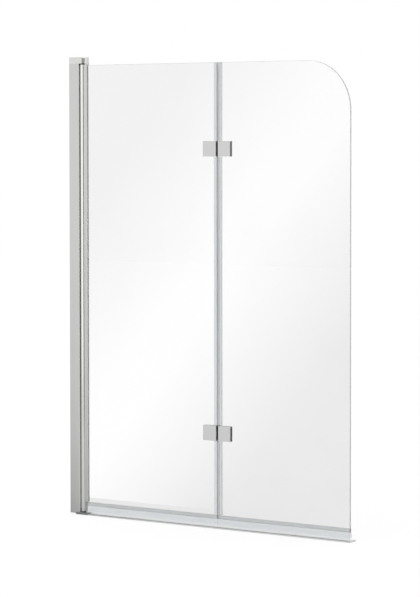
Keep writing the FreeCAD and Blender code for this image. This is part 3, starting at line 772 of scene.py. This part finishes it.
glassSheen = {               # soft window seen in the glass alone, brightest along a slanting band
    "size": (1.7, 1.75), "middle": (0.35, -0.30, 0.80),
    "softEdges": (("X", -0.5, -0.2), ("X", 1.2, 0.85), ("Z", 1.675, 1.40)),      # axis, dark, full
    "bandMiddle": (-0.1415, -0.30, 0.174), "bandSlope": 40.3,    # degrees, across the band and down
    "bandReach": 1.2,        # metres from the first stop to the last
    "stops": ((0.0, 1.6), (0.10, 1.65), (0.30, 2.95), (0.44, 3.9), (0.55, 3.9),
              (0.66, 2.8), (0.80, 1.35), (0.90, 0.36), (0.98, 0.0)),
}
darkCards = {                # seen in metal, plastic and the ground glass edges
    "leafCard": {
        "size": (0.32, 1.3), "middle": (2.07, 2.2, 1.05), "aim": (0.589, 0, 1.1), "level": 0.10},
    "lowLeafCard": {
        "size": (0.34, 0.28), "middle": (1.27, 1.0, 0.14), "aim": (0.589, 0, 0.28), "level": 0.0},
    "capCard": {
        "size": (0.9, 0.6), "middle": (1.73, 2.2, 1.80), "aim": (0.05, 0, 1.39), "level": 0.10},
    "rightCard": {
        "size": (2.14, 3.4), "middle": (2.417, -0.334, 1.0), "aim": (0.04, 0, 0.7), "level": 0.15},
    "overheadCard": {
        "size": (5.0, 4.0), "middle": (-1.2, 0, 3.2), "aim": (-1.2, 0, 0), "level": 0.25},
}
postLight = {
    "size": (7.3, 4.0), "middle": (1.243, -3.815, 1.2), "aim": (0.04, 0, 0.8), "level": 0.45}


def glossyOnly(plane):
    plane.visible_camera = False
    plane.visible_diffuse = False
    plane.visible_transmission = False
    plane.visible_shadow = False


# a card whose light is added to what lies behind it
def shineOverClear(tree, glow):
    both = addNode(tree, "ShaderNodeAddShader")
    wire(tree, glow, "Emission", both, 0)
    wire(tree, addNode(tree, "ShaderNodeBsdfTransparent"), "BSDF", both, 1)
    wire(tree, both, "Shader", tree.nodes["Material Output"], "Surface")


# the only nodes that a card lights
def receivers(name, wanted):
    group = bpy.data.collections.new(name)
    for node in wanted:
        group.objects.link(nodes[node])
    return group


def makeDarkCards(values):
    for name, card in values.items():
        material, tree, shader = newMaterial(name)
        tree.nodes.remove(shader)
        path = addNode(tree, "ShaderNodeLightPath")
        # the polished faces of the glass bounce rays sharply, so they show none of these cards
        mirrored = addNode(tree, "ShaderNodeMath", operation="SUBTRACT", use_clamp=True)
        wire(tree, path, "Is Glossy Ray", mirrored, 0)
        wire(tree, path, "Is Singular Ray", mirrored, 1)
        clear = addNode(tree, "ShaderNodeBsdfTransparent")
        glow = addNode(tree, "ShaderNodeEmission", {"Color": white, "Strength": card["level"]})
        choose = addNode(tree, "ShaderNodeMixShader")
        wire(tree, mirrored, "Value", choose, "Fac")
        wire(tree, clear, "BSDF", choose, 1)
        wire(tree, glow, "Emission", choose, 2)
        wire(tree, choose, "Shader", tree.nodes["Material Output"], "Surface")
        normal = Vector(card["aim"]) - Vector(card["middle"])
        glossyOnly(stagePlane(name, card["size"], card["middle"], normal, material))


# soft box that only the round pivot post shows, as a bright stripe down its length
def makePostLight(values):
    material, tree, shader = newMaterial("postLight")
    tree.nodes.remove(shader)
    glow = addNode(tree, "ShaderNodeEmission", {"Color": white, "Strength": values["level"]})
    shineOverClear(tree, glow)
    normal = Vector(values["aim"]) - Vector(values["middle"])
    card = stagePlane("postLight", values["size"], values["middle"], normal, material)
    glossyOnly(card)
    card.light_linking.receiver_collection = receivers("post", ("pivot_profile",))


def makeGlassSheen(values):
    material, tree, shader = newMaterial("glassSheen")
    tree.nodes.remove(shader)
    place = addNode(tree, "ShaderNodeTexCoord")
    slope = math.radians(values["bandSlope"])
    across = Vector((math.cos(slope), 0, -math.sin(slope))) / values["bandReach"]
    along = addNode(tree, "ShaderNodeVectorMath", operation="DOT_PRODUCT")
    wire(tree, place, "Object", along, 0)
    along.inputs[1].default_value = across
    step = addNode(tree, "ShaderNodeMath", operation="ADD", use_clamp=True)
    wire(tree, along, "Value", step, 0)
    step.inputs[1].default_value = 0.5 - across.dot(Vector(values["bandMiddle"]))
    ramp = addNode(tree, "ShaderNodeValToRGB")
    top = max(level for where, level in values["stops"])
    setStops(ramp, [(where, level / top) for where, level in values["stops"]])
    wire(tree, step, "Value", ramp, "Fac")
    split = addNode(tree, "ShaderNodeSeparateXYZ")
    wire(tree, place, "Object", split, "Vector")
    # lit only on the side that faces the glass
    strength = addNode(tree, "ShaderNodeMapRange", {"To Min": top, "To Max": 0.0})
    wire(tree, addNode(tree, "ShaderNodeNewGeometry"), "Backfacing", strength, "Value")
    last, socket = strength, "Result"
    for axis, dark, full in values["softEdges"]:
        reach = {"From Min": dark, "From Max": full}
        edge = addNode(tree, "ShaderNodeMapRange", reach, interpolation_type="SMOOTHSTEP")
        wire(tree, split, axis, edge, "Value")
        product = addNode(tree, "ShaderNodeMath", operation="MULTIPLY")
        wire(tree, last, socket, product, 0)
        wire(tree, edge, "Result", product, 1)
        last, socket = product, "Value"
    glow = addNode(tree, "ShaderNodeEmission")
    wire(tree, ramp, "Color", glow, "Color")
    wire(tree, last, socket, glow, "Strength")
    shineOverClear(tree, glow)
    card = stagePlane("glassSheen", values["size"], values["middle"], (0, 1, 0), material)
    glossyOnly(card)
    card.light_linking.receiver_collection = receivers("panes", ("inner_glass", "outer_glass"))


makeDarkCards(darkCards)
makePostLight(postLight)
makeGlassSheen(glassSheen)
print("cards made")


scene.view_settings.view_transform = "Standard"
